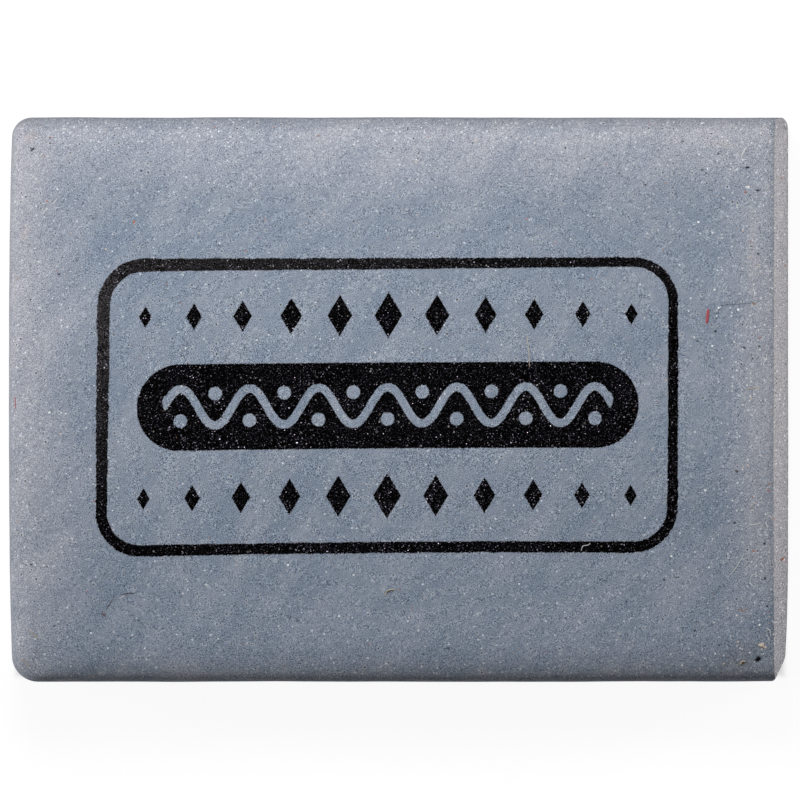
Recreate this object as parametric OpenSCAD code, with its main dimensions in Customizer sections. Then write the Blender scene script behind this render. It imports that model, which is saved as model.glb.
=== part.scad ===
// Kneaded eraser: one pressed block of putty rubber with soft shoulders, trimmed with
// a knife at its +X end. Millimetres. +X runs along the block, +Z up through the
// printed face, and the origin is the middle of the flat underside.

/* [Block] */
// Length, from the pressed end to the foot of the trimmed end
block_l = 50; // [36:0.5:80]
// Width across the two long sides, at their fullest
block_w = 36.1; // [28:0.1:60]
// Height at the middle of the printed face
block_h = 9; // [7:0.1:20]
// How far the crowned face falls from its middle to the middle of a side
crown_h = 0.45; // [0:0.05:0.8]

/* [Shoulders] */
// Width of the shoulder at the pressed end, -X
end_shoulder_w = 3.9; // [1.5:0.1:6]
// Width of the shoulder along the far side, +Y
far_shoulder_w = 4.8; // [1.5:0.1:6]
// Width of the shoulder along the near side, -Y
near_shoulder_w = 3.2; // [1.5:0.1:6]
// Width of the shoulder at the trimmed end, +X, of which the knife takes the outer part
cut_shoulder_w = 3.7; // [1.5:0.1:6]
// Depth of the shoulders, from the face down to the walls
shoulder_h = 1.4; // [0.6:0.1:3.5]
// Fullness of the shoulders: 2 is an ellipse and more is squarer
shoulder_power = 2.5; // [1.6:0.1:4]

/* [Walls] */
// How far the walls swell at half their height
wall_bulge = 0.15; // [0:0.05:0.5]
// Radius of the rounded edge round the underside
foot_r = 0.8; // [0.3:0.1:1.5]
// How far the pressed end bows out between its corners
end_bow = 0.25; // [0:0.05:1]

/* [Corners] */
// Radius in plan at the pressed end, far side
end_far_r = 1.2; // [0.5:0.1:3]
// Radius in plan at the pressed end, near side
end_near_r = 1.6; // [0.5:0.1:3]
// Radius in plan at the trimmed end, far side
cut_far_r = 0.8; // [0.5:0.1:3]
// Radius in plan at the trimmed end, near side, before it is clipped
cut_near_r = 0.8; // [0.5:0.1:3]
// Radius in plan that the corners grow to where the shoulders meet the face
face_corner_r = 4; // [1:0.1:6]

/* [Trimmed end] */
// How far the cut leans back from the underside up to the height of the face
cut_run = 1.25; // [0:0.05:3]
// How much of the slab the knife takes off at the foot of the wall
cut_depth = 0.15; // [0.05:0.05:1]
// Length of the clipped corner along the trimmed end
clip_y = 1.8; // [0.3:0.05:4]
// Length of the clipped corner along the near side
clip_x = 1.1; // [0.3:0.05:4]
// Length over which the trimmed end eases back before that corner
ease_y = 4.4; // [1:0.1:12]
// How far it would have eased back at the near side
ease_x = 0.3; // [0.05:0.05:1]

/* [Hidden] */
corner_steps = 8;    // pieces of each corner's arc
long_steps = 12;     // pieces of each long side
short_steps = 9;     // pieces of each end
foot_steps = 4;      // rings up the rounded foot
wall_steps = 6;      // rings up the walls
shoulder_steps = 14; // rings up the shoulders
face_steps = 8;      // rings from the shoulders to the middle of the face
foot_below = 0.2;    // how far the slab's foot is carried on below the underside
knife = 200;         // side of the cubes that cut, larger than any block
side_steps = [long_steps, short_steps, long_steps, short_steps];
ring_n = 4 * corner_steps + 2 * (long_steps + short_steps);
slab_end = block_l / 2 + cut_depth + wall_bulge; // the slab's +X end, before the knife
slab_x = (slab_end - block_l / 2) / 2;           // middle of the slab along X
half = [slab_end - slab_x, block_w / 2];         // half length and half width of the slab
shoulder_ws = [cut_shoulder_w, far_shoulder_w, end_shoulder_w, near_shoulder_w];
corner_rs = [cut_far_r, end_far_r, end_near_r, cut_near_r];

// Height of the crowned face over a point of the plan
function face_z(p) =
    block_h - crown_h * (pow(p.x / half.x, 2) + pow(p.y / half.y, 2));

// Drop of the shoulder below the face: t goes from 0 at the face to 1 at the wall
function shoulder_drop(t) =
    shoulder_h * (1 - pow(max(0, 1 - pow(t, shoulder_power)), 1 / shoulder_power));

// Bows the pressed end out between its corners; the shift fades along the block
function bowed(p) =
    [p.x + end_bow * pow(p.y / half.y, 4) * (1 - p.x / half.x) / 2, p.y];

// Centre of the arc of radius r at corner k, in the order +X+Y, -X+Y, -X-Y, +X-Y, on a
// ring that is set in by insets on its sides, in the order +X, +Y, -X, -Y
function arc_centre(k, insets, r) =
    let (right = k == 0 || k == 3, far = k < 2)
    [
        (right ? 1 : -1) * (half.x - insets[right ? 0 : 2] - r),
        (far ? 1 : -1) * (half.y - insets[far ? 1 : 3] - r)
    ];

// A closed ring of the plan, counterclockwise: each corner's arc, then the straight
// side that leads to the next corner
function plan_ring(insets, radii) =
    let (centres = [for (k = [0 : 3]) arc_centre(k, insets, radii[k])])
    [for (k = [0 : 3])
        let (
            after = (k + 1) % 4,
            turned = [cos(90 * (k + 1)), sin(90 * (k + 1))],
            from = centres[k] + radii[k] * turned,
            to = centres[after] + radii[after] * turned
        )
        each concat(
            [for (i = [0 : corner_steps - 1])
                let (a = 90 * (k + i / corner_steps))
                centres[k] + radii[k] * [cos(a), sin(a)]],
            [for (i = [0 : side_steps[k] - 1]) from + (to - from) * i / side_steps[k]]
        )];

// The plan on the walls and the foot, set in by the same amount all round
function wall_plan(inset) = plan_ring([for (w = shoulder_ws) inset], corner_rs);

// The plan on the shoulders: t goes from 0 at the face to 1 at the wall
function shoulder_plan(t) =
    plan_ring(
        [for (w = shoulder_ws) wall_bulge + w * (1 - t)],
        [for (r = corner_rs) r + (face_corner_r - r) * (1 - t)]
    );

// The rings at their heights. Round the foot, a goes from 0 at the underside to 90
// degrees at the wall
function foot_ring(a) =
    [for (p = wall_plan(wall_bulge + foot_r * (1 - sin(a))))
        concat(bowed(p), foot_r * (1 - cos(a)))];

// Up the wall, u goes from 0 at the foot to 1 at the shoulder
function wall_ring(u) =
    [for (p = wall_plan(wall_bulge * (1 - sin(180 * u))))
        concat(bowed(p), foot_r + (face_z(p) - shoulder_h - foot_r) * u)];

// Over the shoulder, by even steps of angle, a goes from 0 at the face to 90 at the wall
function shoulder_ring(a) =
    [for (p = shoulder_plan(sin(a))) concat(bowed(p), face_z(p) - shoulder_drop(sin(a)))];

// Over the face, s goes from 1 at the shoulders to 0 at the middle
function face_ring(s) =
    [for (p = shoulder_plan(0)) concat(bowed(s * p), face_z(s * p))];

slab_rings = concat(
    [[for (p = foot_ring(0)) [p.x, p.y, -foot_below]]],
    [for (i = [0 : foot_steps - 1]) foot_ring(90 * i / foot_steps)],
    [for (i = [0 : wall_steps - 1]) wall_ring(i / wall_steps)],
    [for (i = [0 : shoulder_steps]) shoulder_ring(90 * (1 - i / shoulder_steps))],
    [for (i = [1 : face_steps - 1]) face_ring(1 - i / face_steps)]
);

// The slab as it was pressed: its rings lofted one to the next, closed flat below and
// by a point at the top of the crown
module pressed_slab() {
    crown = len(slab_rings) * ring_n;
    translate([slab_x, 0, 0])
        polyhedron(
            points = concat([for (ring = slab_rings) each ring], [[0, 0, block_h]]),
            faces = concat(
                [[for (i = [0 : ring_n - 1]) i]],
                [for (r = [0 : len(slab_rings) - 2], i = [0 : ring_n - 1])
                    let (a = r * ring_n + i, b = r * ring_n + (i + 1) % ring_n)
                    each [[a, a + ring_n, b], [b, a + ring_n, b + ring_n]]],
                [for (i = [0 : ring_n - 1])
                    [crown - ring_n + i, crown, crown - ring_n + (i + 1) % ring_n]]
            )
        );
}

// What the knife takes off: all past a plane that leans back as it rises
module knife_cut() {
    translate([block_l / 2, 0, 0])
        rotate([0, -atan(cut_run / block_h), 0])
            translate([0, -knife / 2, -knife / 2])
                cube(knife);
}

// What a slanting cut takes off the corner between the trimmed end and the near side:
// run_x of the near side and run_y of the end
module corner_cut(run_x, run_y) {
    translate([block_l / 2, run_y - block_w / 2, 0])
        rotate([0, 0, -atan(run_x / run_y)])
            translate([0, -knife / 2, -knife / 2])
                cube(knife);
}

// All that lies below the flat which the soft slab was set down on
module flat_below() {
    translate([-knife / 2, -knife / 2, -knife])
        cube(knife);
}

module eraser_block() {
    color("#8C939F")
        difference() {
            pressed_slab();
            knife_cut();
            corner_cut(ease_x, ease_y);
            corner_cut(clip_x, clip_y);
            flat_below();
        }
}

eraser_block();
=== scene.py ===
"""The looks of a kneaded eraser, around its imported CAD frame.

Sizes are in millimetres until a mesh is made.
"""

import math
from collections import namedtuple

import bmesh
import bpy
import numpy as np
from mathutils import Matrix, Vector, noise
from mathutils.bvhtree import BVHTree


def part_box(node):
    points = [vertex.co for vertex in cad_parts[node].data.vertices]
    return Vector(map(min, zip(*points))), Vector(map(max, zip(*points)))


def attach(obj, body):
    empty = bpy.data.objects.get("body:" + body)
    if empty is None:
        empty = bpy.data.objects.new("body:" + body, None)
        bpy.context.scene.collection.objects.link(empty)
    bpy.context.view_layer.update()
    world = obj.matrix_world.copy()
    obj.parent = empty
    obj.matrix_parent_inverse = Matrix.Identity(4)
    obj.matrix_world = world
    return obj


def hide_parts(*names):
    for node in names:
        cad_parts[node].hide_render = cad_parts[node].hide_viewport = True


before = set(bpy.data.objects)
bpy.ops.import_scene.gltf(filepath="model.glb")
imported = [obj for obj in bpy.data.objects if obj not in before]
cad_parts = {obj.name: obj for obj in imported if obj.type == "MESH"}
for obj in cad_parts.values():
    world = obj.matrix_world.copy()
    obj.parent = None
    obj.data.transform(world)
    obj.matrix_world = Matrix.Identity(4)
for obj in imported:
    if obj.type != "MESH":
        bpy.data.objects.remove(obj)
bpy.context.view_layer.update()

MM = 0.001
NODE = "eraser_block"

# ---------------------------------------------------------------- sizes of the block
# The overall sizes come from the frame. The rest repeats the CAD source, because it
# can't be read from here.
node_low, node_high = (np.array(corner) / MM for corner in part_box(NODE))
BLOCK_L = -2 * node_low[0]
BLOCK_W = node_high[1] - node_low[1]
BLOCK_H = node_high[2]
CROWN_H = 0.45
SHOULDER_WS = (3.7, 4.8, 3.9, 3.2)  # at +X, +Y, -X and -Y
SHOULDER_H = 1.4
SHOULDER_POWER = 2.5
WALL_BULGE = 0.15
FOOT_R = 0.8
END_BOW = 0.25
CORNER_RS = (0.8, 1.2, 1.6, 0.8)  # at +X+Y, -X+Y, -X-Y and +X-Y
FACE_CORNER_R = 4
CUT_RUN = 1.25
CUT_DEPTH = 0.15
CLIP_X, CLIP_Y = 1.1, 1.8
EASE_X, EASE_Y = 0.3, 4.4
CUT_EDGE, CLIP_EDGE, EASE_EDGE = 0.04, 0.12, 0.3  # how far each cut rounds its edges

SLAB_END = BLOCK_L / 2 + CUT_DEPTH + WALL_BULGE
SLAB_X = (SLAB_END - BLOCK_L / 2) / 2
HALF_X, HALF_Y = SLAB_END - SLAB_X, BLOCK_W / 2

# ---------------------------------------------------------------- sizes of the mesh
CORNER_STEPS = 16
LONG_STEPS, SHORT_STEPS = 140, 94
SIDE_STEPS = (LONG_STEPS, SHORT_STEPS, LONG_STEPS, SHORT_STEPS)
FOOT_STEPS, WALL_STEPS, SHOULDER_STEPS = 6, 16, 28
FLAT_RIM = 0.3  # width of the band round the flat underside that keeps its shading flat
RING_N = 4 * CORNER_STEPS + sum(SIDE_STEPS)
BISECT_REACH = 1e-5  # how near to a cutting plane a point counts as on it
BEND_SHARES = (-1, -0.5, 0, 0.5, 1)  # where a rounded edge is divided, as shares of its size
SMOOTH_ANGLE = math.radians(35)  # above which an edge stays sharp


def crowned_z(plan):
    """Height of the crowned face over points of the slab's plan."""
    x, y = plan[..., 0] / HALF_X, plan[..., 1] / HALF_Y
    return BLOCK_H - CROWN_H * (x * x + y * y)


def shoulder_drop(t):
    """Drop of the shoulder below the face, where t is 0 at the face and 1 at the wall."""
    full = max(0.0, 1 - t**SHOULDER_POWER)
    return SHOULDER_H * (1 - full ** (1 / SHOULDER_POWER))


def placed(plan, z):
    """Points of the slab's plan, bowed at the pressed end, in the block's frame and raised to z."""
    x, y = plan[..., 0], plan[..., 1]
    bow = END_BOW * (y / HALF_Y) ** 4 * (1 - x / HALF_X) / 2
    return np.stack([x + bow + SLAB_X, y, np.broadcast_to(z, x.shape)], -1)


def plan_ring(insets, radii):
    """A closed ring of the plan, counterclockwise: each corner's arc, then the side that leads to
    the next corner."""
    signs = ((1, 1), (-1, 1), (-1, -1), (1, -1))
    centres = []
    for (sx, sy), r in zip(signs, radii):
        inset_x = insets[0] if sx > 0 else insets[2]
        inset_y = insets[1] if sy > 0 else insets[3]
        centres.append(np.array([sx * (HALF_X - inset_x - r), sy * (HALF_Y - inset_y - r)]))
    points = []
    for k in range(4):
        for i in range(CORNER_STEPS):
            a = math.pi / 2 * (k + i / CORNER_STEPS)
            points.append(centres[k] + radii[k] * np.array([math.cos(a), math.sin(a)]))
        a = math.pi / 2 * (k + 1)
        turned = np.array([math.cos(a), math.sin(a)])
        start = centres[k] + radii[k] * turned
        end = centres[(k + 1) % 4] + radii[(k + 1) % 4] * turned
        for i in range(SIDE_STEPS[k]):
            points.append(start + (end - start) * i / SIDE_STEPS[k])
    return np.array(points)


def shoulder_plan(t):
    """The plan on the shoulders, where t is 0 at the face and 1 at the wall."""
    insets = [WALL_BULGE + w * (1 - t) for w in SHOULDER_WS]
    return plan_ring(insets, [r + (FACE_CORNER_R - r) * (1 - t) for r in CORNER_RS])


def slab_rings():
    """The slab's rings in 3-D, from the underside up to the rim of the face."""
    flat_rim = plan_ring([WALL_BULGE + FOOT_R + FLAT_RIM] * 4, CORNER_RS)
    rings = [placed(flat_rim, 0.0)]
    for i in range(FOOT_STEPS):
        a = math.pi / 2 * i / FOOT_STEPS
        plan = plan_ring([WALL_BULGE + FOOT_R * (1 - math.sin(a))] * 4, CORNER_RS)
        rings.append(placed(plan, FOOT_R * (1 - math.cos(a))))
    for i in range(WALL_STEPS):
        u = i / WALL_STEPS
        plan = plan_ring([WALL_BULGE * (1 - math.sin(math.pi * u))] * 4, CORNER_RS)
        top = crowned_z(plan) - SHOULDER_H
        rings.append(placed(plan, FOOT_R + (top - FOOT_R) * u))
    for i in range(SHOULDER_STEPS + 1):
        t = math.cos(math.pi / 2 * i / SHOULDER_STEPS)
        plan = shoulder_plan(t)
        rings.append(placed(plan, crowned_z(plan) - shoulder_drop(t)))
    return rings


def face_patch():
    """The face as a grid of plan points whose border is the shoulders' innermost ring, and the
    ring's index of each border point."""
    rim = shoulder_plan(0)
    middle = [k * CORNER_STEPS + sum(SIDE_STEPS[:k]) + CORNER_STEPS // 2 for k in range(4)]
    nx, ny = LONG_STEPS + CORNER_STEPS, SHORT_STEPS + CORNER_STEPS
    far = [middle[1] - i for i in range(nx + 1)]
    near = [middle[2] + i for i in range(nx + 1)]
    left = [middle[2] - j for j in range(ny + 1)]
    right = [(middle[3] + j) % RING_N for j in range(ny + 1)]
    u = np.linspace(0, 1, nx + 1)[:, None, None]
    v = np.linspace(0, 1, ny + 1)[None, :, None]
    ruled = (1 - v) * rim[near][:, None] + v * rim[far][:, None]
    ruled = ruled + (1 - u) * rim[left][None] + u * rim[right][None]
    corners = (1 - u) * (1 - v) * rim[near[0]] + u * (1 - v) * rim[near[-1]]
    corners = corners + (1 - u) * v * rim[far[0]] + u * v * rim[far[-1]]
    border = {}
    for i in range(nx + 1):
        border[i, 0], border[i, ny] = near[i], far[i]
    for j in range(ny + 1):
        border[0, j], border[nx, j] = left[j], right[j]
    return ruled - corners, border


def slab_mesh():
    """A bmesh of the slab as it was pressed, in millimetres."""
    rings = slab_rings()
    plan, border = face_patch()
    grid = placed(plan, crowned_z(plan))
    bm = bmesh.new()
    rows = [[bm.verts.new(p) for p in ring] for ring in rings]
    for low, high in zip(rows, rows[1:]):
        for i in range(RING_N):
            j = (i + 1) % RING_N
            bm.faces.new((low[i], low[j], high[j], high[i]))
    bm.faces.new(rows[0][::-1])
    nx, ny = grid.shape[0] - 1, grid.shape[1] - 1
    lattice = []
    for i in range(nx + 1):
        column = []
        for j in range(ny + 1):
            on_rim = (i, j) in border
            column.append(rows[-1][border[i, j]] if on_rim else bm.verts.new(grid[i, j]))
        lattice.append(column)
    for left, right in zip(lattice, lattice[1:]):
        for j in range(ny):
            bm.faces.new((left[j], right[j], right[j + 1], left[j + 1]))
    return bm


def cut_flat(bm, place, normal, along, edge):
    """Cuts the mesh by a plane: all that is past it is laid onto the plane, moved along a
    direction, and within the edge's size of the plane the surface bends over gently."""
    place, normal, along = Vector(place), Vector(normal).normalized(), Vector(along)
    for share in BEND_SHARES:
        bmesh.ops.bisect_plane(
            bm,
            geom=bm.verts[:] + bm.edges[:] + bm.faces[:],
            dist=BISECT_REACH,
            plane_co=place + normal * (share * edge),
            plane_no=normal,
        )
    for vert in bm.verts:
        past = (vert.co - place).dot(normal)
        if past > -edge:
            bent = min(past, 0) - max(edge - abs(past), 0) ** 2 / (4 * edge)
            vert.co += along * ((bent - past) / along.dot(normal))


# ---------------------------------------------------------------- wear on the face
# Each dent is a groove from one point of the plan to another, with its half width and its depth.
DENTS = (
    ((20.5, 5.98), (22.5, 6.14), 0.028, 0.04),  # the crack that ends at the trimmed end
    ((22.8, -16.64), (22.92, -16.55), 0.15, 0.22),  # a hole by the clipped corner
    ((22.08, 14.78), (22.25, 14.79), 0.05, 0.11),
    ((22.74, 13.36), (22.9, 13.31), 0.05, 0.12),
    ((-23.5, 15.88), (-23.32, 16.01), 0.045, 0.11),
    ((22.82, 9.3), (22.86, 9.26), 0.05, 0.1),
    ((20.31, 15.67), (20.34, 15.67), 0.05, 0.1),
    ((19.26, 14.62), (19.28, 14.62), 0.05, 0.1),
    ((19.52, 14.43), (19.54, 14.43), 0.045, 0.08),
    ((18.78, -14.75), (18.81, -14.75), 0.06, 0.1),
    ((20.34, -15.67), (20.37, -15.67), 0.05, 0.1),
    ((18.05, 16.47), (18.08, 16.45), 0.05, 0.09),
    ((15.66, 13.67), (15.69, 13.67), 0.055, 0.1),
    ((-23.49, -10.54), (-23.48, -10.54), 0.055, 0.1),
    ((-22.47, -10.67), (-22.45, -10.67), 0.045, 0.08),
    ((-22.03, -14.43), (-22.0, -14.43), 0.05, 0.09),
    ((-19.65, 11.53), (-19.4, 11.53), 0.03, 0.05),
    ((3.05, -15.85), (3.08, -15.84), 0.05, 0.09),
    ((-16.49, 14.59), (-16.47, 14.57), 0.06, 0.09),
    ((-21.72, 7.98), (-21.69, 7.98), 0.055, 0.08),
    ((-14.99, 14.35), (-14.97, 14.35), 0.045, 0.07),
    ((-19.58, 14.92), (-19.56, 14.92), 0.04, 0.07),
    ((-15.56, 9.18), (-15.54, 9.18), 0.04, 0.07),
    ((21.34, -7.87), (21.37, -7.87), 0.06, 0.1),
    ((23.22, -9.2), (23.26, -9.2), 0.055, 0.09),
    ((16.84, -11.5), (16.87, -11.51), 0.055, 0.09),
    ((23.28, -11.43), (23.31, -11.42), 0.06, 0.09),
    ((23.4, -13.18), (23.43, -13.2), 0.055, 0.1),
    ((20.11, 4.33), (20.15, 4.33), 0.06, 0.1),
    ((18.96, 3.72), (18.99, 3.71), 0.05, 0.09),
    ((21.9, 3.33), (22.02, 3.25), 0.04, 0.1),
    ((22.86, 3.39), (22.98, 3.39), 0.035, 0.08),
    ((21.4, -4.55), (21.52, -4.62), 0.045, 0.08),
)
DENT_REACH = 3.2  # how many half widths a dent's slope reaches
DENT_TAPER = 0.4  # how much shallower a dent is at its ends
DENT_FAINT = 0.01  # the share of a dent's depth below which it is left out
DENT_MARGINS = (0.4, 0.2, 0.1)  # how far round a dent each round of division reaches
DENT_SHADE_DEPTH = 0.075  # the depth from which a dent is painted fully dark, as painted shade
DENT_SHADE_ATTRIBUTE = "hollow"  # the attribute that says how deep in a dent a point is, which sets the painted shade there


def segment_distance(points, start, end):
    """Distance in plan from points to a segment."""
    a, b = np.array(start), np.array(end)
    t = np.clip(((points - a) @ (b - a)) / max((b - a) @ (b - a), 1e-9), 0, 1)
    return np.linalg.norm(points - (a + t[:, None] * (b - a)), axis=1)


def refine_at_dents(bm):
    """Divides the face's quads round each dent until they are finer than the dent."""
    for margin in DENT_MARGINS:
        faces = [f for f in bm.faces if f.calc_center_median().z > BLOCK_H / 2]
        centres = np.array([f.calc_center_median()[:2] for f in faces])
        near = np.zeros(len(faces), bool)
        for start, end, width, _ in DENTS:
            near |= segment_distance(centres, start, end) < width * DENT_REACH + margin
        edges = {e for f, hit in zip(faces, near) if hit for e in f.edges}
        bmesh.ops.subdivide_edges(bm, edges=list(edges), cuts=1, use_grid_fill=True)


def press_dents(bm):
    """Presses the dents into the face, and notes at each point how much painted shade the dent gets there."""
    hollow = bm.verts.layers.float.new(DENT_SHADE_ATTRIBUTE)
    verts = [v for v in bm.verts if v.co.z > BLOCK_H / 2]
    plan = np.array([v.co[:2] for v in verts])
    for start, end, width, depth in DENTS:
        middle = (np.array(start) + np.array(end)) / 2
        reach = math.dist(start, end) / 2 + width
        taper = 1 - DENT_TAPER * np.clip(np.linalg.norm(plan - middle, axis=1) / reach, 0, 1) ** 2
        share = taper * np.exp(-((segment_distance(plan, start, end) / width) ** 2))
        for vert, part in zip(verts, share):
            if part > DENT_FAINT:
                vert.co.z -= depth * part
                vert[hollow] = max(vert[hollow], part * min(1.0, depth / DENT_SHADE_DEPTH))


# The broad and the fine unevenness of the surface: its pitch and its height
SWELL_PITCH, SWELL_H = 7.0, 0.05
RIPPLE_PITCH, RIPPLE_H = 2.2, 0.012


def waver(bm):
    """Makes the surface slightly uneven, except for the flat underside."""
    bm.normal_update()
    for vert in bm.verts:
        lift = min(1.0, vert.co.z / FOOT_R)
        swell = noise.noise(vert.co / SWELL_PITCH) * SWELL_H
        ripple = noise.noise(vert.co / RIPPLE_PITCH + Vector((9, 3, 5))) * RIPPLE_H
        vert.co += vert.normal * ((swell + ripple) * lift)


def in_scene(name, data):
    """A new object of the scene, made of the data."""
    thing = bpy.data.objects.new(name, data)
    bpy.context.scene.collection.objects.link(thing)
    return thing


def mesh_object(name, bm, material):
    """A piece made from a bmesh, which is in millimetres and is used up."""
    bm.normal_update()
    mesh = bpy.data.meshes.new(name)
    bm.to_mesh(mesh)
    bm.free()
    for vert in mesh.vertices:
        vert.co *= MM
    mesh.materials.append(material)
    mesh.polygons.foreach_set("use_smooth", [True] * len(mesh.polygons))
    mesh.set_sharp_from_angle(angle=SMOOTH_ANGLE)
    return in_scene(name, mesh)


# ---------------------------------------------------------------- materials
def srgb(red, green, blue):
    """A colour written as 0 to 255 in sRGB, as the linear colour that a shader takes."""
    shares = (red / 255, green / 255, blue / 255)
    linear = [c / 12.92 if c < 0.04 else ((c + 0.055) / 1.055) ** 2.4 for c in shares]
    return (*linear, 1.0)


class Graph:
    """A material's node tree, built up from values, which are numbers or sockets."""

    def __init__(self, name):
        self.material = bpy.data.materials.new(name)
        self.material.use_nodes = True
        self.tree = self.material.node_tree
        self.tree.nodes.clear()

    def feed(self, socket, value):
        if isinstance(value, bpy.types.NodeSocket):
            self.tree.links.new(value, socket)
        elif isinstance(value, tuple):
            socket.default_value = value[: len(socket.default_value)]
        else:
            socket.default_value = value

    def add(self, kind, values=None, **settings):
        """A new node with its settings, whose sockets, by name or number, take the values."""
        node = self.tree.nodes.new("ShaderNode" + kind)
        for name, value in settings.items():
            setattr(node, name, value)
        for socket, value in (values or {}).items():
            self.feed(node.inputs[socket], value)
        return node

    def math(self, operation, *values, clamp=False):
        node = self.add("Math", dict(enumerate(values)), operation=operation, use_clamp=clamp)
        return node.outputs[0]

    def chained(self, operation, first, *others):
        for other in others:
            first = self.math(operation, first, other)
        return first

    def sum(self, *values):
        return self.chained("ADD", *values)

    def product(self, *values):
        return self.chained("MULTIPLY", *values)

    def largest(self, *values):
        return self.chained("MAXIMUM", *values)

    def smallest(self, *values):
        return self.chained("MINIMUM", *values)

    def less(self, value, other):
        return self.math("SUBTRACT", value, other)

    def total(self, *terms):
        """The sum of the terms, of which a tuple is a value and its weights."""
        return self.sum(*[self.product(*term) if isinstance(term, tuple) else term for term in terms])

    def length(self, x, y):
        return self.math("SQRT", self.total((x, x), (y, y)))

    def step(self, value, low, high):
        """0 below low, 1 above high and smooth between; low may be the larger."""
        values = {"Value": value, "From Min": low, "From Max": high}
        node = self.add("MapRange", values, interpolation_type="SMOOTHSTEP", clamp=True)
        return node.outputs["Result"]

    def split(self, vector):
        return self.add("SeparateXYZ", {0: vector}).outputs

    def join(self, x, y, z):
        return self.add("CombineXYZ", {0: x, 1: y, 2: z}).outputs[0]

    def scaled(self, vector, factor):
        return self.add("VectorMath", {0: vector, "Scale": factor}, operation="SCALE").outputs[0]

    def moved(self, vector, other):
        return self.add("VectorMath", {0: vector, 1: other}, operation="ADD").outputs[0]

    def tinted(self, colour, factor, tint):
        """The colour multiplied by a factor, whose distance from 1 counts as much in each channel
        as the tint says."""
        factors = self.moved(self.scaled(tint, self.less(factor, 1.0)), (1.0, 1.0, 1.0))
        return self.add("VectorMath", {0: colour, 1: factors}, operation="MULTIPLY").outputs[0]

    def turned(self, vector, angle, stretch=(1, 1, 1)):
        """The vector turned by an angle about Z, then scaled."""
        inner = self.add("Mapping", {"Vector": vector, "Rotation": (0, 0, angle)})
        return self.add("Mapping", {"Vector": inner.outputs[0], "Scale": stretch}).outputs[0]

    def noise(self, vector, scale, detail=2.0, roughness=0.5):
        values = {"Vector": vector, "Scale": scale, "Detail": detail, "Roughness": roughness}
        return self.add("TexNoise", values).outputs[0]

    def cells(self, vector, scale):
        """Distance to the nearest of points strewn in space, in the vector's units, and three
        random numbers of that point."""
        node = self.add("TexVoronoi", {"Vector": vector, "Scale": scale}, feature="F1")
        picks = self.add("SeparateColor", {0: node.outputs["Color"]})
        return self.math("DIVIDE", node.outputs["Distance"], scale), picks.outputs

    def mix(self, factor, first, second):
        """The first colour where the factor is 0, and the second where it is 1."""
        return self.add("Mix", {0: factor, 6: first, 7: second}, data_type="RGBA").outputs[2]

    def blend(self, factor, first, second):
        """The first number where the factor is 0, and the second where it is 1."""
        return self.add("Mix", {0: factor, 2: first, 3: second}, data_type="FLOAT").outputs[0]

    def place_mm(self):
        """The place in the block's frame, in millimetres."""
        return self.scaled(self.add("TexCoord").outputs["Object"], 1 / MM)

    def finish(self, colour, roughness, height, specular):
        """Ends the tree in a Principled shader, where height is in millimetres."""
        values = {"Base Color": colour, "Roughness": roughness, "Specular IOR Level": specular}
        shader = self.add("BsdfPrincipled", values)
        bump = self.add("Bump", {"Distance": MM, "Height": height})
        self.feed(shader.inputs["Normal"], bump.outputs["Normal"])
        self.add("OutputMaterial", {"Surface": shader.outputs[0]})
        return self.material


# ---------------------------------------------------------------- the print
# A plain border line. In it are a band with a wave and dots left bare, and a row of lozenges
# above and below it.
PRINT_TURN = math.radians(0.45)
PRINT_CENTRE = (-0.763, -0.345)
PRINT_LEAN = 0.0158  # how far the print leans to +X for each millimetre towards +Y
PRINT_TWIST = 0.0002  # how much less it leans for each millimetre towards +X
# How far the print sank towards -Y: all of it, its far side per mm and its near side per mm2
PRINT_SAG = (0.032, 0.0008, 0.00024)
BORDER_HALF = (18.18, 9.04)  # to the middle of the line
BORDER_R = 2.6
BORDER_LINE = 0.73
BORDER_THINS = 0.0036  # how much the line gets thinner for each millimetre towards +X
BORDER_TWIST = 0.00035  # how much that grows for each millimetre towards +Y
BORDER_WOBBLE = 0.14  # how unevenly thick the line is
WOBBLE_SCALE = 0.9  # how often that changes, per millimetre
BAND_HALF = (16.0, 2.75)
WAVE_PITCH = 4.4
WAVE_HALF_H = 1.15
WAVE_LINE = 0.5
WAVE_REACH = 14.1
DOT_R = 0.42
DOT_DROP = 0.75 * WAVE_HALF_H  # how far the dots lie from the band's axis
ROW_Y = 5.75
LOZENGE_PITCH = 3.1
LOZENGE_COUNT = 11
LOZENGE_TALLEST, LOZENGE_SMALLEST = 1.5, 0.7  # half heights
LOZENGE_SLIM = 0.6  # width as a share of height
INK_FRAY = 0.035  # how far the ink's edges fray
TICKS_INSIDE = 0.25  # how much the ticks fray inside the border; its outer edge takes 1 more


def rounded_box(g, x, y, half, radius):
    """Distance from the edge of a rounded rectangle about the origin, which is negative inside."""
    dx = g.less(g.math("ABSOLUTE", x), half[0] - radius)
    dy = g.less(g.math("ABSOLUTE", y), half[1] - radius)
    outside = g.length(g.math("MAXIMUM", dx, 0.0), g.math("MAXIMUM", dy, 0.0))
    inside = g.smallest(g.largest(dx, dy), 0.0)
    return g.less(g.sum(outside, inside), radius)


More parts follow.
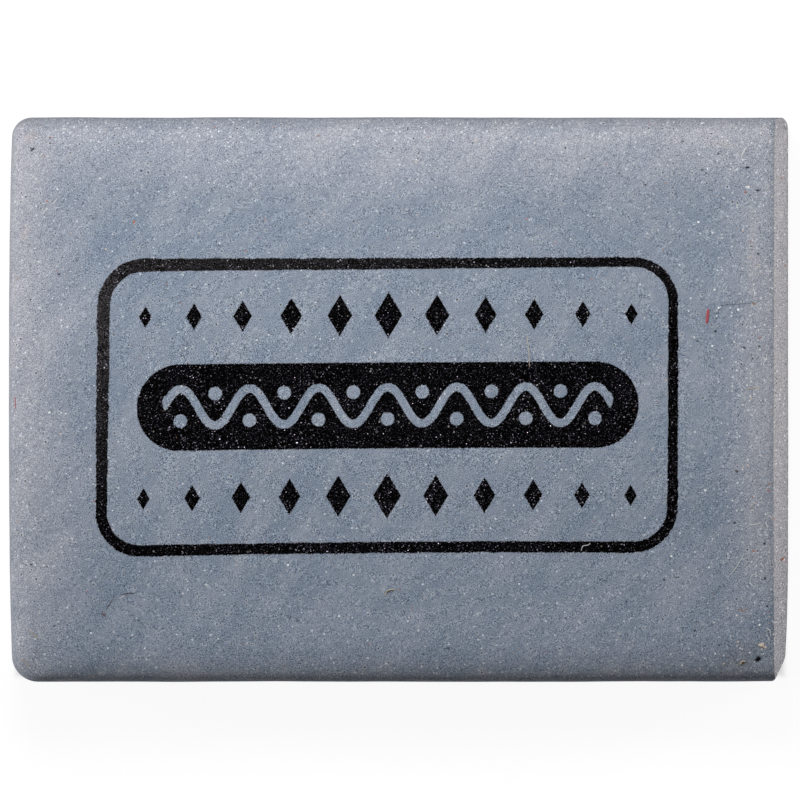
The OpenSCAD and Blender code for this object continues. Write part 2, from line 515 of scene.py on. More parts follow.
def wave_and_dots(g, x, y):
    """Distance from the edge of a wavy line with a dot in each of its hollows."""
    held = g.smallest(g.largest(x, -WAVE_REACH), WAVE_REACH)
    angle = g.product(held, math.tau / WAVE_PITCH)
    rise = g.product(g.math("COSINE", angle), WAVE_HALF_H)
    slope = g.product(g.math("SINE", angle), WAVE_HALF_H * math.tau / WAVE_PITCH)
    line = g.length(g.less(x, held), g.math("DIVIDE", g.less(y, rise), g.length(slope, 1.0)))
    line = g.less(line, WAVE_LINE / 2)
    beat = g.math("PINGPONG", x, WAVE_PITCH / 2)
    under_crest = g.length(beat, g.sum(y, DOT_DROP))
    over_trough = g.length(g.less(WAVE_PITCH / 2, beat), g.less(y, DOT_DROP))
    dots = g.less(g.smallest(under_crest, over_trough), DOT_R)
    return g.smallest(line, g.largest(dots, g.less(g.math("ABSOLUTE", x), WAVE_REACH)))


def lozenges(g, x, y):
    """Distance from the edge of a row of lozenges that get smaller away from the middle."""
    number = g.math("ROUND", g.math("DIVIDE", x, LOZENGE_PITCH))
    local_x = g.math("ABSOLUTE", g.less(x, g.product(number, LOZENGE_PITCH)))
    fall = (LOZENGE_TALLEST - LOZENGE_SMALLEST) / (LOZENGE_COUNT // 2)
    half_h = g.less(LOZENGE_TALLEST, g.product(g.math("ABSOLUTE", number), fall))
    slant = g.sum(g.math("DIVIDE", local_x, LOZENGE_SLIM), g.math("ABSOLUTE", y))
    distance = g.product(g.less(slant, half_h), LOZENGE_SLIM / math.hypot(1, LOZENGE_SLIM))
    return g.largest(distance, g.less(g.math("ABSOLUTE", x), LOZENGE_PITCH * LOZENGE_COUNT / 2))


def ink_distance(g, mm, fray, ticks):
    """Distance from the edge of the printed ink, which is negative on the ink. One noise frays
    every edge, and another, the ticks, mostly the outer edge of the border."""
    centred = g.moved(mm, (-PRINT_CENTRE[0], -PRINT_CENTRE[1], 0.0))
    x, y, _ = g.split(g.turned(centred, -PRINT_TURN))
    nearness = g.sum(1.0, g.product(y, -1 / BORDER_HALF[1]))
    farness = g.less(2.0, nearness)
    all_sag, far_sag, near_sag = PRINT_SAG
    sag = g.total(all_sag, (x, farness, far_sag), (x, x, nearness, near_sag))
    x = g.less(x, g.product(y, g.less(PRINT_LEAN, g.product(x, PRINT_TWIST))))
    y = g.sum(y, sag)
    thinning = g.total(BORDER_THINS / 2, (y, BORDER_TWIST / 2))
    half_line = g.less(BORDER_LINE / 2, g.product(x, thinning))
    border = rounded_box(g, x, y, BORDER_HALF, BORDER_R)
    wobble = g.product(g.less(g.noise(mm, WOBBLE_SCALE, 1.0), 0.5), BORDER_WOBBLE)
    line = g.less(g.math("ABSOLUTE", border), g.sum(half_line, wobble))
    fray = g.sum(fray, g.product(ticks, g.sum(TICKS_INSIDE, g.step(border, -0.1, 0.1))))
    band = rounded_box(g, x, y, BAND_HALF, BAND_HALF[1])
    band = g.largest(band, g.product(wave_and_dots(g, x, y), -1.0))
    rows = lozenges(g, x, g.less(g.math("ABSOLUTE", y), ROW_Y))
    return g.sum(g.smallest(line, band, rows), g.product(fray, INK_FRAY))


# ---------------------------------------------------------------- the rubber
BLUE_GREY = srgb(127, 139, 155)
DUST_COLOUR = srgb(180, 178, 183)
INK_COLOUR = srgb(1.0, 0.92, 1.18)  # where no rubber shows through
INK_RANGE = 8000.0  # how many times paler it is where the rubber shows through fully
VEIL_COLOUR = srgb(150, 144, 147)  # of the dust that greys the ink
# painted shade, for the pits and the dents
PIT_SHADE_COLOUR = srgb(38, 40, 46)
SPECK_COLOUR = srgb(226, 226, 228)
CREAM_COLOUR = srgb(190, 178, 168)
RUST_COLOUR = srgb(176, 124, 104)
CREAM_FROM, RUST_FROM = 0.7, 0.94  # the random number from which a speck is cream or rust
SPECK_SCALE, PIT_SCALE = 3.4, 3.2  # strewn points to the millimetre
FAINT_R, PIT_R = 0.1, 0.09  # the largest radii
BRIGHT_R, CUT_BRIGHT_R = 0.074, 0.1  # on the pressed surfaces and on the cut end
GRAIN_TINT = (1.08, 1.01, 0.92)  # how much of the grain each channel takes, so that it stays grey
FLANK_DUST = 1.0  # how much of the freshly cut end is dust, where 1 is all
FLANK_PALE_AND_LIT = 1.14  # how much paler the cut end is than dust: partly a paler fresh cut, partly painted light
FLANK_SPECK_LIGHT = 1.25  # painted light: how much paler its specks are than those of the face, where less light falls
FLANK_DRAW = 0.15  # what its specks' heights are multiplied by, which draws them out
EDGE_DARK_REACH = 0.35  # how far the face is darkened beside the cut's edge
NEAR_HALF_SHADE = 0.055  # painted shade: how much darker the nearer half of the face is painted, where the light falls off
FAR_ARRIS_SHADE = 0.2  # how much painted shade darkens the arris along the far side
# Dust that has drifted along the long sides, which on the near side is partly painted light: each drift
# starts and is full at two distances from the side, and has a thickness.
FAR_DRIFTS = ((9.0, 5.0, 0.07), (5.4, 2.6, 0.23), (2.2, 1.3, 0.09), (1.1, 0.3, -0.08))
NEAR_DUST_AND_LIGHT = ((2.0, 0.0, 0.2), (0.9, 0.4, 0.08))
# Soft stains on the face, and one patch of painted shade: the middle and the half sizes of each, its turn in
# degrees, its colour and strength.
STAINS_AND_SHADE = (
    ((-23.5, 16.7), (0.6, 0.35), 35, srgb(194, 174, 164), 0.25),  # a warm patch at the corner
    ((-23.9, 10.6), (0.7, 0.3), 80, srgb(192, 174, 168), 0.25),
    ((-18.87, -13.7), (0.26, 0.14), -50, srgb(96, 58, 56), 0.6),  # a rusty smudge
    ((21.9, -16.3), (1.6, 1.0), 10, srgb(70, 72, 78), 0.28),  # painted shade at the corner by the clip
    ((20.6, 16.3), (1.1, 0.35), -12, srgb(200, 186, 176), 0.16),
    ((17.3, 16.6), (0.9, 0.3), 8, srgb(200, 186, 178), 0.14),
    ((22.5, 9.6), (0.4, 3.2), 0, srgb(198, 188, 184), 0.16),
)

Specks = namedtuple("Specks", "mask distance size there kind")


class Rubber(Graph):
    """The putty's material, with the values that its layers share."""

    def __init__(self):
        super().__init__("putty_rubber_printed")
        self.mm = self.place_mm()
        self.x, self.y, self.z = self.split(self.mm)
        normals = self.add("NewGeometry").outputs
        self.flank = self.step(self.split(normals["True Normal"])[0], 0.75, 0.9)  # 1 on the cut end
        self.upright = self.step(self.split(normals["Normal"])[2], 0.85, 0.45)  # 1 on the walls
        self.bands = self.grain(0.55, 2.0, 0.55, turn=-50, stretch=(0.35, 1, 1))
        self.streaks = self.grain(7.0, 1.0, 0.5, turn=-45, stretch=(0.28, 1.3, 1))
        self.fine = self.grain(26.0, 1.0, 0.6)
        self.dimples = self.grain(2.6, 2.0, 0.5)
        self.patches = self.grain(0.45, 3.0, 0.6)
        self.margin, self.gathered = dust_on_face(self)
        drawn = self.product(self.z, self.blend(self.flank, 1.0, FLANK_DRAW))
        self.scatter = self.join(self.x, self.y, drawn)
        share = self.total(0.1, (self.gathered, 0.4), (self.upright, 0.3))
        self.faint = specks(self, self.scatter, SPECK_SCALE, FAINT_R, share).mask
        self.bright, self.tint = bright_specks(self)

    def grain(self, scale, detail, roughness, turn=None, stretch=(1, 1, 1)):
        """Noise about 0. One that has a turn, in degrees, is turned about Z and then scaled."""
        place = self.mm
        if turn is not None:
            place = self.turned(place, math.radians(turn), stretch)
        return self.less(self.noise(place, scale, detail, roughness), 0.5)


def drifts(g, distance, rows):
    """How thick the dust of several drifts is at a distance from their side."""
    return g.total(*[(g.step(distance, start, full), thick) for start, full, thick in rows])


def dust_on_face(g):
    """How much dust lies on the face and the shoulders, on the near shoulder partly as painted light, and how
    far specks gather there: most along the pressed end, the far side and the trimmed end."""
    x, y = g.x, g.y
    shift = g.product(g.patches, 3.0)
    left = g.sum(x, BLOCK_L / 2, shift)
    right = g.total(g.less(BLOCK_L / 2 - CUT_RUN, x), (g.patches, 2.0))
    far = g.sum(g.less(BLOCK_W / 2, y), shift)
    near = g.sum(y, BLOCK_W / 2)
    at_far = g.product(drifts(g, far, FAR_DRIFTS), g.total(1.0, (x, 0.004)))
    at_near = drifts(g, near, NEAR_DUST_AND_LIGHT)
    at_left = g.product(g.step(left, 6.1, 0.0), g.total(0.46, (y, 0.006)))
    thick = g.total(0.38, (g.step(y, 8.0, 11.0), -0.16))
    at_right = g.product(g.step(right, 3.7, 0.8), g.step(y, -14.5, -8.0), thick)
    margin = g.largest(at_far, at_left, at_right, at_near)
    gathered = g.largest(
        g.step(right, 4.5, 1.0),
        g.step(far, 3.0, 0.8),
        g.step(near, 1.6, 0.4),
        g.step(left, 3.0, 0.5),
    )
    return g.sum(margin, 0.1), gathered


def specks(g, place, scale, radius, share):
    """Round specks up to a radius, on a share of the strewn points: their mask, the distance
    to the nearest point, its size, whether it is there, and a random number for its kind."""
    distance, picks = g.cells(place, scale)
    size = g.product(g.total((picks[1], 0.6), 0.4), radius)
    there = g.math("LESS_THAN", picks[0], share)
    mask = g.product(g.step(distance, size, g.product(size, 0.5)), there)
    return Specks(mask, distance, size, there, picks[2])


def bright_specks(g):
    """The mask of the pale, cream and rust specks, and their colour, painted paler on the cut end as painted
    light.
    """
    place = g.moved(g.scatter, (31.0, 17.0, 5.0))
    radius = g.blend(g.flank, BRIGHT_R, CUT_BRIGHT_R)
    bright = specks(g, place, SPECK_SCALE, radius, g.total(0.2, (g.gathered, 0.5)))
    tint = g.mix(g.math("GREATER_THAN", bright.kind, CREAM_FROM), SPECK_COLOUR, CREAM_COLOUR)
    tint = g.mix(g.math("GREATER_THAN", bright.kind, RUST_FROM), tint, RUST_COLOUR)
    return bright.mask, g.scaled(tint, g.blend(g.flank, 1.0, FLANK_SPECK_LIGHT))


def with_stains_and_shade(g, colour):
    """The colour with the soft stains of the face and the patch of painted shade laid over it."""
    for middle, half, turn, tone, strength in STAINS_AND_SHADE:
        dx, dy = g.less(g.x, middle[0]), g.less(g.y, middle[1])
        c, s = math.cos(math.radians(turn)), math.sin(math.radians(turn))
        along = g.total((dx, c / half[0]), (dy, s / half[0]))
        across = g.total((dy, c / half[1]), (dx, -s / half[1]))
        there = g.step(g.length(along, across), 1.3, 0.2)
        colour = g.mix(g.product(there, strength), colour, tone)
    return colour


def face_grain(g, film):
    """How light the grain makes the pressed surfaces, where the dust's film softens it, with painted shade on
    the nearer half of the face.
    """
    fineness = g.less(5.5, g.product(film, 1.8))
    grain = g.total(1.0, (g.streaks, 0.35), (g.fine, fineness), (g.bands, 0.18))
    # painted shade towards the near side
    return g.less(grain, g.product(g.step(g.y, -1.0, -6.0), NEAR_HALF_SHADE))


def cut_grain(g):
    """How light the knife's lines make the cut end, with painted shade that darkens it to the near side and
    down.
    """
    drag = g.grain(13.0, 1.0, 0.6, turn=0, stretch=(0.4, 1, 0.13))
    # painted shade: darker towards the near side and towards the foot
    nearer, lower = g.step(g.y, -3.0, -15.0), g.step(g.z, 6.0, 1.0)
    return g.total(FLANK_PALE_AND_LIT, (drag, 2.3), (g.fine, 3.0), (nearer, -0.17), (lower, -0.06))


def painted_shade_and_edge_dark(g):
    """How much is darkened along the cut's edge, and by painted shade at the cut's foot and on the far arris.
    """
    edge_dark = g.step(g.less(BLOCK_L / 2 - CUT_RUN, g.x), EDGE_DARK_REACH, 0.0)
    edge_dark = g.product(edge_dark, g.less(1.0, g.flank))
    # painted shade at the foot of the cut end, where it meets the floor
    foot = g.product(g.flank, g.step(g.z, 1.4, 0.1))
    # painted shade along the far arris
    rim = g.step(g.less(BLOCK_W / 2, g.y), 1.15, 0.25)
    return g.total((edge_dark, 0.16), (foot, 0.35), (rim, FAR_ARRIS_SHADE))


def dusted(g):
    """The blue-grey rubber under its dust, with its stains and grain, darker along the cut's edge, and with
    painted shade and, on the cut end, painted light.
    """
    film = g.total(g.margin, (g.bands, 0.5), (g.patches, 0.25))
    film = g.total(film, (g.dimples, 0.2), (g.streaks, 0.15))
    film = g.blend(g.flank, film, g.total(FLANK_DUST, (g.patches, 0.3)))
    colour = g.mix(g.math("MAXIMUM", film, 0.0, clamp=True), BLUE_GREY, DUST_COLOUR)
    colour = g.mix(g.less(1.0, g.flank), colour, with_stains_and_shade(g, colour))
    grain = g.blend(g.flank, face_grain(g, film), cut_grain(g))
    return g.scaled(g.tinted(colour, grain, GRAIN_TINT), g.less(1.0, painted_shade_and_edge_dark(g)))


def speckled(g, colour):
    """The colour with the faint and the bright specks on it."""
    colour = g.mix(g.product(g.faint, 0.6), colour, SPECK_COLOUR)
    return g.mix(g.product(g.bright, 0.95), colour, g.tint)


def veil(g, grit):
    """How much dust greys the ink, along the pressed end and the far side."""
    at_left = g.product(g.step(g.x, -17.0, -18.6), g.step(g.y, -9.0, 8.0), 0.09)
    at_far = g.total(0.045, (g.step(g.x, -14.0, 10.0), -0.033))
    at_far = g.product(g.step(g.y, 6.0, 8.2), at_far)
    thick = g.product(g.largest(at_left, at_far), g.total(1.0, (grit, 5.0), (g.dimples, 2.0)))
    return g.math("MAXIMUM", thick, 0.0, clamp=True)


def printed(g, colour):
    """The mask of the ink, and the colour with the ink on it, in which the rubber shows."""
    ticks = g.grain(7.5, 1.0, 0.6, turn=-70, stretch=(0.3, 1.2, 1))
    fray = g.total((g.streaks, 1.5), (g.fine, 5.0))
    edge = ink_distance(g, g.mm, fray, g.product(ticks, 3.4))
    upper = g.math("GREATER_THAN", g.z, BLOCK_H / 2)
    ink = g.product(g.step(edge, INK_FRAY / 2, -INK_FRAY / 2), upper)
    grit = g.less(g.noise(g.moved(g.mm, (3.0, 5.0, 7.0)), 14.0, 0.0), 0.5)
    mottle = g.total((grit, 2.35), (g.streaks, 0.3), (g.dimples, 0.3), (g.patches, 0.3))
    inked = g.scaled(INK_COLOUR, g.math("POWER", INK_RANGE, g.smallest(mottle, 1.0)))
    inked = g.mix(veil(g, grit), inked, VEIL_COLOUR)
    inked = g.mix(g.product(g.bright, 0.34), inked, g.tint)
    inked = g.mix(g.product(g.faint, 0.1), inked, SPECK_COLOUR)
    return ink, g.mix(ink, colour, inked)


def pitted(g, colour, ink):
    """The mask of the soft dark pits, and the colour with them, their pale lips and the dents, where the pits
    and dents are painted shade.
    """
    share = g.total(0.2, (g.gathered, 0.16), (g.flank, 0.3))
    pits = specks(g, g.moved(g.scatter, (7.0, 43.0, 11.0)), PIT_SCALE, PIT_R, share)
    lip = g.step(pits.distance, g.product(pits.size, 2.2), g.product(pits.size, 1.1))
    lip = g.product(lip, pits.there)
    colour = g.mix(g.product(lip, g.less(1.0, ink), 0.2), colour, SPECK_COLOUR)
    # painted shade in the dents, darker where they are deeper
    hollow = g.add("Attribute", attribute_name=DENT_SHADE_ATTRIBUTE).outputs["Fac"]
    hollow = g.math("MULTIPLY", hollow, 1.3, clamp=True)
    dark = g.largest(g.product(pits.mask, 0.85), hollow)
    return pits.mask, g.mix(dark, colour, PIT_SHADE_COLOUR)


def rubber_material():
    """The whole block's material."""
    g = Rubber()
    ink, colour = printed(g, speckled(g, dusted(g)))
    pits, colour = pitted(g, colour, ink)
    height = g.total((g.streaks, 0.010), (g.fine, 0.008), (g.dimples, 0.016), (pits, -0.02))
    return g.finish(colour, g.total(0.85, (g.fine, 0.3), (ink, -0.08)), height, specular=0.01)


# ---------------------------------------------------------------- lint and crumbs
LINT_SPREAD = 0.5  # how unevenly lint and crumbs are coloured
THREAD_SIDES = 6
THREAD_LIFT = 0.35  # how high a thread's middle lies over the block, as a share of its width
THREAD_TAPER = 0.55  # how much thinner a thread is at its ends
CRUMB_LIFT = 0.12  # how high a crumb's middle lies over the block, as a share of its size
CRUMB_FLAT = 0.6  # its height as a share of its width
CRUMB_LUMPS = 2.4  # how often its surface swells, over its size
CRUMB_LUMP_H = 0.55  # how far, as a share of its radius


def lint_material(name, colour):
    """A dull colour that varies along the thread or over the crumb."""
    g = Graph(name)
    mm = g.place_mm()
    tone = g.total(1 - LINT_SPREAD / 2, (g.noise(mm, 9.0), LINT_SPREAD))
    return g.finish(g.scaled(colour, tone), 0.85, g.product(g.noise(mm, 20.0), 0.01), specular=0.2)


def smooth_path(points, steps=6):
    """Points along the curve through given points of the plan."""
    points = [np.array(p, float) for p in points]
    ends = [2 * points[0] - points[1], *points, 2 * points[-1] - points[-2]]
    path = []
    for a, b, c, d in zip(ends, ends[1:], ends[2:], ends[3:]):
        for i in range(steps):
            t = i / steps
            bend = 2 * a - 5 * b + 4 * c - d
            twist = 3 * b - a - 3 * c + d
            path.append(0.5 * (2 * b + (c - a) * t + bend * t**2 + twist * t**3))
    return [*path, points[-1]]


class Ground:
    """Where a point of the plan lies on the finished block, in millimetres."""

    def __init__(self, piece):
        points = [v.co / MM for v in piece.data.vertices]
        self.tree = BVHTree.FromPolygons(points, [p.vertices for p in piece.data.polygons])

    def over(self, plan, lift):
        """The place on the block below a point of the plan, lifted off along the normal."""
        above = Vector((plan[0], plan[1], 3 * BLOCK_H))
        hit, normal, _, _ = self.tree.ray_cast(above, Vector((0, 0, -1)))
        return hit + normal * lift


def add_fibre(bm, ground, points, width, arch):
    """A thread of a given width, laid on the block along a curve of the plan, and arched up
    between its ends."""
    path = smooth_path(points)
    spine = []
    for i, plan in enumerate(path):
        t = i / (len(path) - 1)
        spine.append(ground.over(plan, width * THREAD_LIFT + arch * math.sin(math.pi * t)))
    rings = []
    for i, centre in enumerate(spine):
        ahead = (spine[min(i + 1, len(spine) - 1)] - spine[max(i - 1, 0)]).normalized()
        across = Vector((0, 0, 1)).cross(ahead).normalized()
        up = ahead.cross(across)
        taper = 1 - THREAD_TAPER * abs(2 * i / (len(spine) - 1) - 1) ** 4
        r = width / 2 * taper
        ring = []
        for k in range(THREAD_SIDES):
            a = math.tau * k / THREAD_SIDES
            ring.append(bm.verts.new(centre + across * (r * math.cos(a)) + up * (r * math.sin(a))))
        rings.append(ring)
    for low, high in zip(rings, rings[1:]):
        for k in range(THREAD_SIDES):
            after = (k + 1) % THREAD_SIDES
            bm.faces.new((low[k], low[after], high[after], high[k]))
    bm.faces.new(rings[0][::-1])
    bm.faces.new(rings[-1])


def add_crumb(bm, ground, plan, size, seed):
    """A lumpy crumb, half sunk in the surface."""
    made = bmesh.ops.create_icosphere(bm, subdivisions=3, radius=size / 2)
    centre = ground.over(plan, size * CRUMB_LIFT)
    offset = Vector((seed * 3.7, seed * 1.9, seed * 5.3))
    for vert in made["verts"]:
        lump = 1 + CRUMB_LUMP_H * noise.noise(vert.co * (CRUMB_LUMPS / size) + offset)
        vert.co = centre + Vector((vert.co.x, vert.co.y, vert.co.z * CRUMB_FLAT)) * lump


# Each thread's points in the plan, its width and how high it arches.
FIBRES = {
    "lint_pale": (srgb(204, 204, 204), [
        (((22.07, 16.09), (21.91, 15.74), (21.75, 15.39)), 0.08, 0.02),
        (((-22.95, 15.48), (-22.83, 15.59), (-22.73, 15.71)), 0.08, 0.02),
        (((22.8, -11.21), (22.57, -11.15), (22.38, -11.31), (22.32, -11.53)), 0.045, 0.02),
        (((22.32, -11.53), (22.38, -11.75), (22.57, -11.9), (22.8, -11.88)), 0.045, 0.02),
        (((22.96, -10.42), (23.08, -10.54), (23.21, -10.73)), 0.05, 0.02),
        (((23.28, -14.56), (23.5, -14.62), (23.62, -14.81), (23.64, -15.07)), 0.045, 0.03),
        (((23.36, -14.94), (23.48, -15.13), (23.6, -15.3)), 0.05, 0.02),
        (((21.94, -9.78), (21.68, -10.32), (21.3, -10.89), (20.92, -11.31)), 0.04, 0.01),
        (((11.55, -9.65), (11.68, -9.33), (12.0, -9.27), (12.13, -9.14)), 0.045, 0.01),
        (((22.57, 6.53), (22.61, 6.84), (22.5, 7.15)), 0.05, 0.03),
        (((23.4, 2.92), (23.34, 2.6), (23.18, 2.3), (23.22, 2.12)), 0.05, 0.02),
        (((20.3, 5.75), (20.48, 5.92)), 0.09, 0.01),
        (((20.12, 5.55), (20.28, 5.72)), 0.07, 0.01),
        (((22.92, 5.74), (23.06, 5.88)), 0.07, 0.01),
        (((21.4, 4.62), (21.62, 4.78)), 0.07, 0.01),
        (((21.26, 3.74), (21.38, 3.6)), 0.11, 0.01),
        (((-17.85, -12.71), (-17.69, -12.58), (-17.5, -12.52)), 0.055, 0.02),
        (((-22.12, 12.46), (-21.96, 12.65), (-21.83, 12.78)), 0.06, 0.0),
        (((-22.79, 11.85), (-22.6, 12.04), (-22.41, 12.2)), 0.055, 0.0),
        (((-23.55, 12.08), (-23.46, 12.2), (-23.36, 12.3)), 0.06, 0.0),
        (((22.26, -8.0), (22.62, -7.98), (23.0, -7.87)), 0.06, 0.01),
        (((23.31, -7.8), (23.38, -8.0), (23.47, -8.19)), 0.06, 0.01),
        (((-23.25, -16.5), (-23.15, -16.7), (-23.05, -16.95)), 0.05, 0.0),
        (((-23.42, -16.2), (-23.25, -16.32)), 0.05, 0.0),
    ]),
    "lint_faint": (srgb(172, 174, 178), [
        (((-22.1, -9.6), (-21.6, -9.15), (-21.2, -9.1), (-20.94, -8.85)), 0.035, 0.0),
        (((-20.3, -8.75), (-20.1, -8.4), (-19.7, -8.27), (-19.35, -8.27)), 0.035, 0.0),
    ]),
    "lint_ochre": (srgb(178, 166, 144), [
        (((-0.94, -12.55), (-0.87, -12.3), (-0.68, -12.14), (-0.27, -12.12)), 0.08, 0.04),
        (((8.11, 4.11), (8.18, 3.41), (8.24, 2.71), (8.27, 2.07)), 0.045, 0.01),
        (((-23.64, -14.72), (-23.36, -14.94), (-22.99, -15.23)), 0.055, 0.02),
        (((21.68, -16.88), (21.84, -16.69), (22.07, -16.69)), 0.09, 0.03),
        (((22.07, 0.67), (22.51, 0.72), (22.96, 0.8)), 0.06, 0.01),
        (((-24.2, -16.5), (-23.9, -16.75), (-23.55, -17.05)), 0.045, 0.0),
    ]),
    "lint_red": (srgb(168, 80, 86), [
        (((19.67, 5.78), (19.61, 5.32), (19.56, 4.84)), 0.17, 0.0),
        (((-24.51, 0.16), (-24.5, -0.22), (-24.48, -0.6)), 0.055, 0.0),
    ]),
    "lint_dark": (srgb(84, 79, 84), [
        (((-18.72, -13.42), (-18.48, -13.02), (-18.22, -12.6)), 0.055, 0.0),
        (((-17.79, -12.45), (-17.37, -12.34), (-16.86, -12.36)), 0.045, 0.02),
        (((17.48, -11.33), (17.86, -11.31)), 0.05, 0.0),
        (((1.15, 15.62), (1.28, 15.84)), 0.045, 0.0),
    ]),
}

# Each crumb's point in the plan and its size.
CRUMBS = {
    "crumbs_cream": (srgb(196, 182, 166), [
        ((23.1, -15.68), 0.26), ((23.3, -15.8), 0.16), ((22.95, -15.64), 0.16), ((4.89, 16.5), 0.13),
        ((-18.74, 9.59), 0.12), ((20.66, -16.85), 0.13), ((21.56, -15.45), 0.12), ((21.87, 10.74), 0.12),
        ((-21.6, -2.2), 0.11), ((-9.3, 13.4), 0.1), ((22.9, 8.6), 0.12), ((22.3, 9.1), 0.11),
        ((23.0, 8.1), 0.1), ((22.4, 0.1), 0.11), ((1.04, 15.12), 0.1), ((24.6, -14.06), 0.1),
        ((22.62, -6.6), 0.1), ((21.9, -4.3), 0.1), ((22.2, -4.25), 0.11), ((23.7, -7.54), 0.12),
    ]),
    "crumbs_rust": (srgb(152, 116, 90), [
        ((21.62, -13.35), 0.11), ((21.84, -13.47), 0.12), ((22.1, -13.38), 0.11), ((22.6, 6.1), 0.15),
        ((21.84, -16.79), 0.12), ((-1.89, -15.64), 0.1), ((16.81, 9.53), 0.09), ((-5.18, 16.8), 0.12),
        ((0.0, -12.1), 0.09), ((24.47, -11.81), 0.1), ((24.26, -12.05), 0.09), ((0.78, -13.28), 0.1),
        ((23.59, -5.36), 0.11), ((22.45, -6.9), 0.09), ((22.7, -5.4), 0.08), ((21.42, -4.6), 0.08),
    ]),
    "crumbs_orange": (srgb(206, 118, 66), [
        ((24.38, -10.28), 0.13), ((24.5, -10.22), 0.14), ((24.6, -10.15), 0.12), ((-16.93, 11.31), 0.13),
        ((22.57, -9.65), 0.11),
    ]),
    "crumbs_red": (srgb(170, 100, 88), [
        ((22.03, 13.22), 0.12), ((23.49, -5.81), 0.12), ((22.5, -6.2), 0.08), ((-22.47, 12.65), 0.1),
        ((-22.25, 16.73), 0.08), ((-22.66, 15.45), 0.09), ((22.96, 3.92), 0.1), ((-19.48, -6.49), 0.1),
        ((-19.9, -12.2), 0.08),
    ]),
    "crumbs_white": (srgb(232, 232, 230), [
        ((22.23, 13.54), 0.15), ((-22.31, -0.83), 0.12), ((19.04, 11.31), 0.14), ((-7.12, -10.54), 0.11),
        ((7.6, -11.75), 0.1), ((-19.69, -14.88), 0.12), ((21.56, 5.72), 0.14), ((20.34, 5.83), 0.1),
        ((17.31, -9.98), 0.12), ((19.71, -10.7), 0.12), ((17.83, -12.61), 0.09), ((22.93, -14.37), 0.12),
        ((15.63, -7.55), 0.11), ((19.91, 3.41), 0.12), ((18.77, 3.97), 0.09), ((21.48, 1.85), 0.1),
        ((19.48, -5.78), 0.13), ((20.06, 7.0), 0.12), ((-21.8, 13.4), 0.1), ((18.0, -16.95), 0.1),
        ((20.1, -16.2), 0.1), ((-3.87, -13.8), 0.1),
    ]),
}


# ---------------------------------------------------------------- the scene
def add_block():
    """The block: pressed, trimmed, dented and slightly uneven."""
    bm = slab_mesh()
    lean = math.atan(CUT_RUN / BLOCK_H)
    cut_flat(bm, (BLOCK_L / 2, 0, 0), (math.cos(lean), 0, math.sin(lean)), (1, 0, 0), CUT_EDGE)
    for run_x, run_y, edge in ((EASE_X, EASE_Y, EASE_EDGE), (CLIP_X, CLIP_Y, CLIP_EDGE)):
        turn = math.atan(run_x / run_y)
        outward = (math.cos(turn), -math.sin(turn), 0)
        cut_flat(bm, (BLOCK_L / 2, run_y - BLOCK_W / 2, 0), outward, outward, edge)
    refine_at_dents(bm)
    many_sided = [face for face in bm.faces if len(face.verts) > 4]
    bmesh.ops.triangulate(bm, faces=many_sided, ngon_method="BEAUTY")
    waver(bm)
    press_dents(bm)
    piece = mesh_object("putty_block", bm, rubber_material())
    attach(piece, "root")
    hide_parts(NODE)
    return piece


def own(piece):
    """Makes a piece ride on the block."""
    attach(piece, "root")


def add_lint(ground):
    """The threads and the crumbs, as one piece of each colour."""
    for name, (colour, threads) in FIBRES.items():
        bm = bmesh.new()
        for points, width, arch in threads:
            add_fibre(bm, ground, points, width, arch)
        own(mesh_object(name, bm, lint_material(name, colour)))
    for name, (colour, crumbs) in CRUMBS.items():
        bm = bmesh.new()
        for seed, (plan, size) in enumerate(crumbs):
            add_crumb(bm, ground, plan, size, seed)
        own(mesh_object(name, bm, lint_material(name, colour)))


STUDIO_R = 1.8
STUDIO_WALL = 1.8
FLOOR_GAP = 0.02 * MM  # how far the floor lies below the block, so that they never share a plane
SHADOW_DEPTH = 0.13  # share of the floor's white near the block that the lamps give, and that can be shadowed
CONTACT_DEPTH = 0.5  # how much more of it does under the block's rounded foot
SHADOW_NEAR, SHADOW_FAR = 0.06, 0.25  # the distances in metres over which that fades
FLOOR_GLOW = 1.06  # the floor's brightness to the camera, where 1 is white
FLOOR_COLOUR = srgb(215, 215, 215)


def stage_material():
    """White where the camera or a reflection sees it, apart from the object's shadow, and a pale
    floor to the lamps."""
    g = Graph("studio_white")
    path = g.add("LightPath").outputs
    seen = g.largest(path["Is Camera Ray"], path["Is Glossy Ray"], path["Is Transmission Ray"])
    x, y, _ = g.split(g.add("TexCoord").outputs["Object"])
    shadowed = g.product(g.step(g.length(x, y), SHADOW_FAR, SHADOW_NEAR), SHADOW_DEPTH)
    beyond_x = g.less(g.math("ABSOLUTE", x), BLOCK_L / 2 * MM)
    beyond_y = g.less(g.math("ABSOLUTE", y), BLOCK_W / 2 * MM)
    under = g.step(g.largest(beyond_x, beyond_y), 0.0, -FOOT_R * MM)
    shadowed = g.sum(shadowed, g.product(under, CONTACT_DEPTH))
    pale = g.add("BsdfDiffuse", {"Color": FLOOR_COLOUR})
    catcher = g.add("BsdfDiffuse", {"Color": g.join(shadowed, shadowed, shadowed)})
    glow = g.add("Emission", {"Strength": g.less(FLOOR_GLOW, shadowed)})
    white = g.add("AddShader", {0: catcher.outputs[0], 1: glow.outputs[0]})
    mixed = g.add("MixShader", {0: seen, 1: pale.outputs[0], 2: white.outputs[0]})
    g.add("OutputMaterial", {"Surface": mixed.outputs[0]})
    return g.material


def add_stage():
    """A round floor with an upright wall at its edge."""
    bm = bmesh.new()
    bmesh.ops.create_circle(bm, cap_ends=True, segments=96, radius=STUDIO_R)
    rim = [e for e in bm.edges if e.is_boundary]
    raised = bmesh.ops.extrude_edge_only(bm, edges=rim)["geom"]
    for vert in raised:
        if isinstance(vert, bmesh.types.BMVert):
            vert.co.z += STUDIO_WALL
    for vert in bm.verts:
        vert.co.z -= FLOOR_GAP
    mesh = bpy.data.meshes.new("studio_floor")
    bm.to_mesh(mesh)
    bm.free()
    mesh.materials.append(stage_material())
    stage = in_scene("studio_floor", mesh)


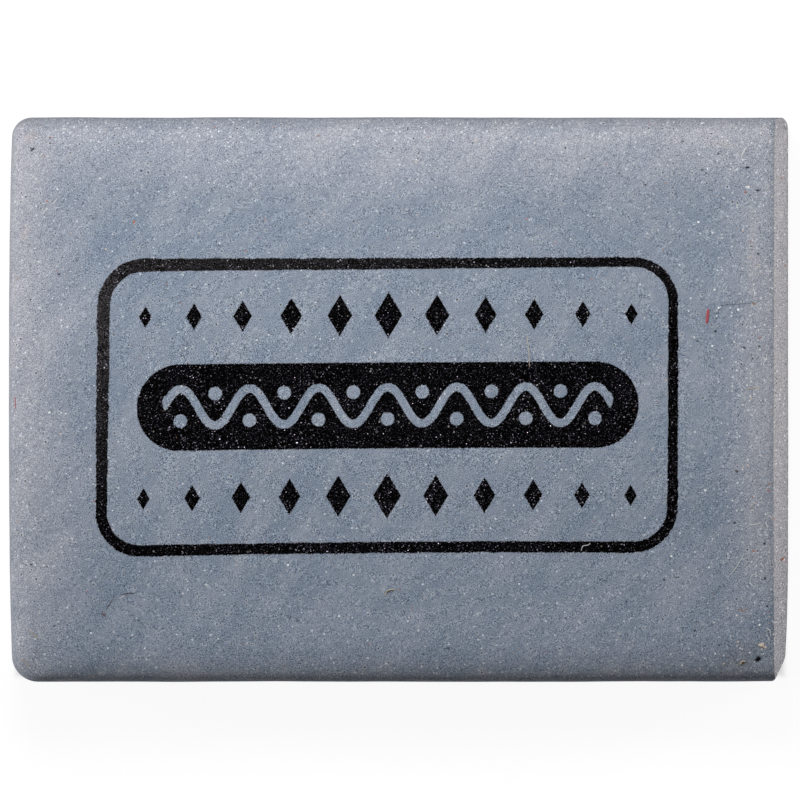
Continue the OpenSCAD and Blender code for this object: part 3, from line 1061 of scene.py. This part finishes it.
# Each soft box: its bearing in degrees from +X towards +Y, its elevation, its distance and its
# width in metres, and its share of the light on the middle of the face. Together with the air's,
# the shares add up to 1, which shows a colour as it is written.
SOFT_BOXES = {
    "softbox_far": (105, 60, 0.12, 0.06, 0.72),
    "softbox_left": (180, 12, 0.6, 0.3, 0.14),
    "softbox_right": (20, 12, 0.35, 0.18, 0.11),
}
AIR_SHARE = 0.03


def add_lamp(name, bearing, elevation, distance, width, share):
    """A square soft box turned to the block."""
    bearing, elevation = math.radians(bearing), math.radians(elevation)
    lamp = bpy.data.lights.new(name, "AREA")
    lamp.shape = "SQUARE"
    lamp.size = width
    lamp.energy = share * math.pi**2 * distance**2 / math.sin(elevation)
    holder = in_scene(name, lamp)
    level = math.cos(elevation)
    aim = Vector((math.cos(bearing) * level, math.sin(bearing) * level, math.sin(elevation)))
    holder.location = aim * distance
    holder.rotation_euler = (-holder.location).to_track_quat("-Z", "Y").to_euler()
    holder.visible_camera = False


def add_light():
    """The soft boxes, and the light of the air, which comes from all round."""
    for name, box in SOFT_BOXES.items():
        add_lamp(name, *box)
    world = bpy.data.worlds.new("studio_air")
    world.use_nodes = True
    air = world.node_tree.nodes["Background"]
    air.inputs["Color"].default_value = (1, 1, 1, 1)
    air.inputs["Strength"].default_value = AIR_SHARE
    bpy.context.scene.world = world


CAMERA_HEIGHT = 1.0
VIEW_HALF = 25.62  # half the width of the view, in millimetres, where the walls are widest
VIEW_LEVEL = 3.5  # height of that place
CAMERA_X, CAMERA_Y = 0.02, -0.03


def add_camera():
    """A camera straight above the block, which looks down with +Y up in the picture."""
    camera = bpy.data.cameras.new("camera")
    camera.sensor_width = 36
    camera.lens = camera.sensor_width / 2 * (CAMERA_HEIGHT / MM - VIEW_LEVEL) / VIEW_HALF
    camera.clip_start, camera.clip_end = 0.05, 10
    holder = in_scene("camera", camera)
    holder.location = (CAMERA_X * MM, CAMERA_Y * MM, CAMERA_HEIGHT)
    bpy.context.scene.camera = holder


block = add_block()
add_lint(Ground(block))
add_stage()
add_light()
add_camera()
bpy.context.scene.view_settings.view_transform = "Standard"
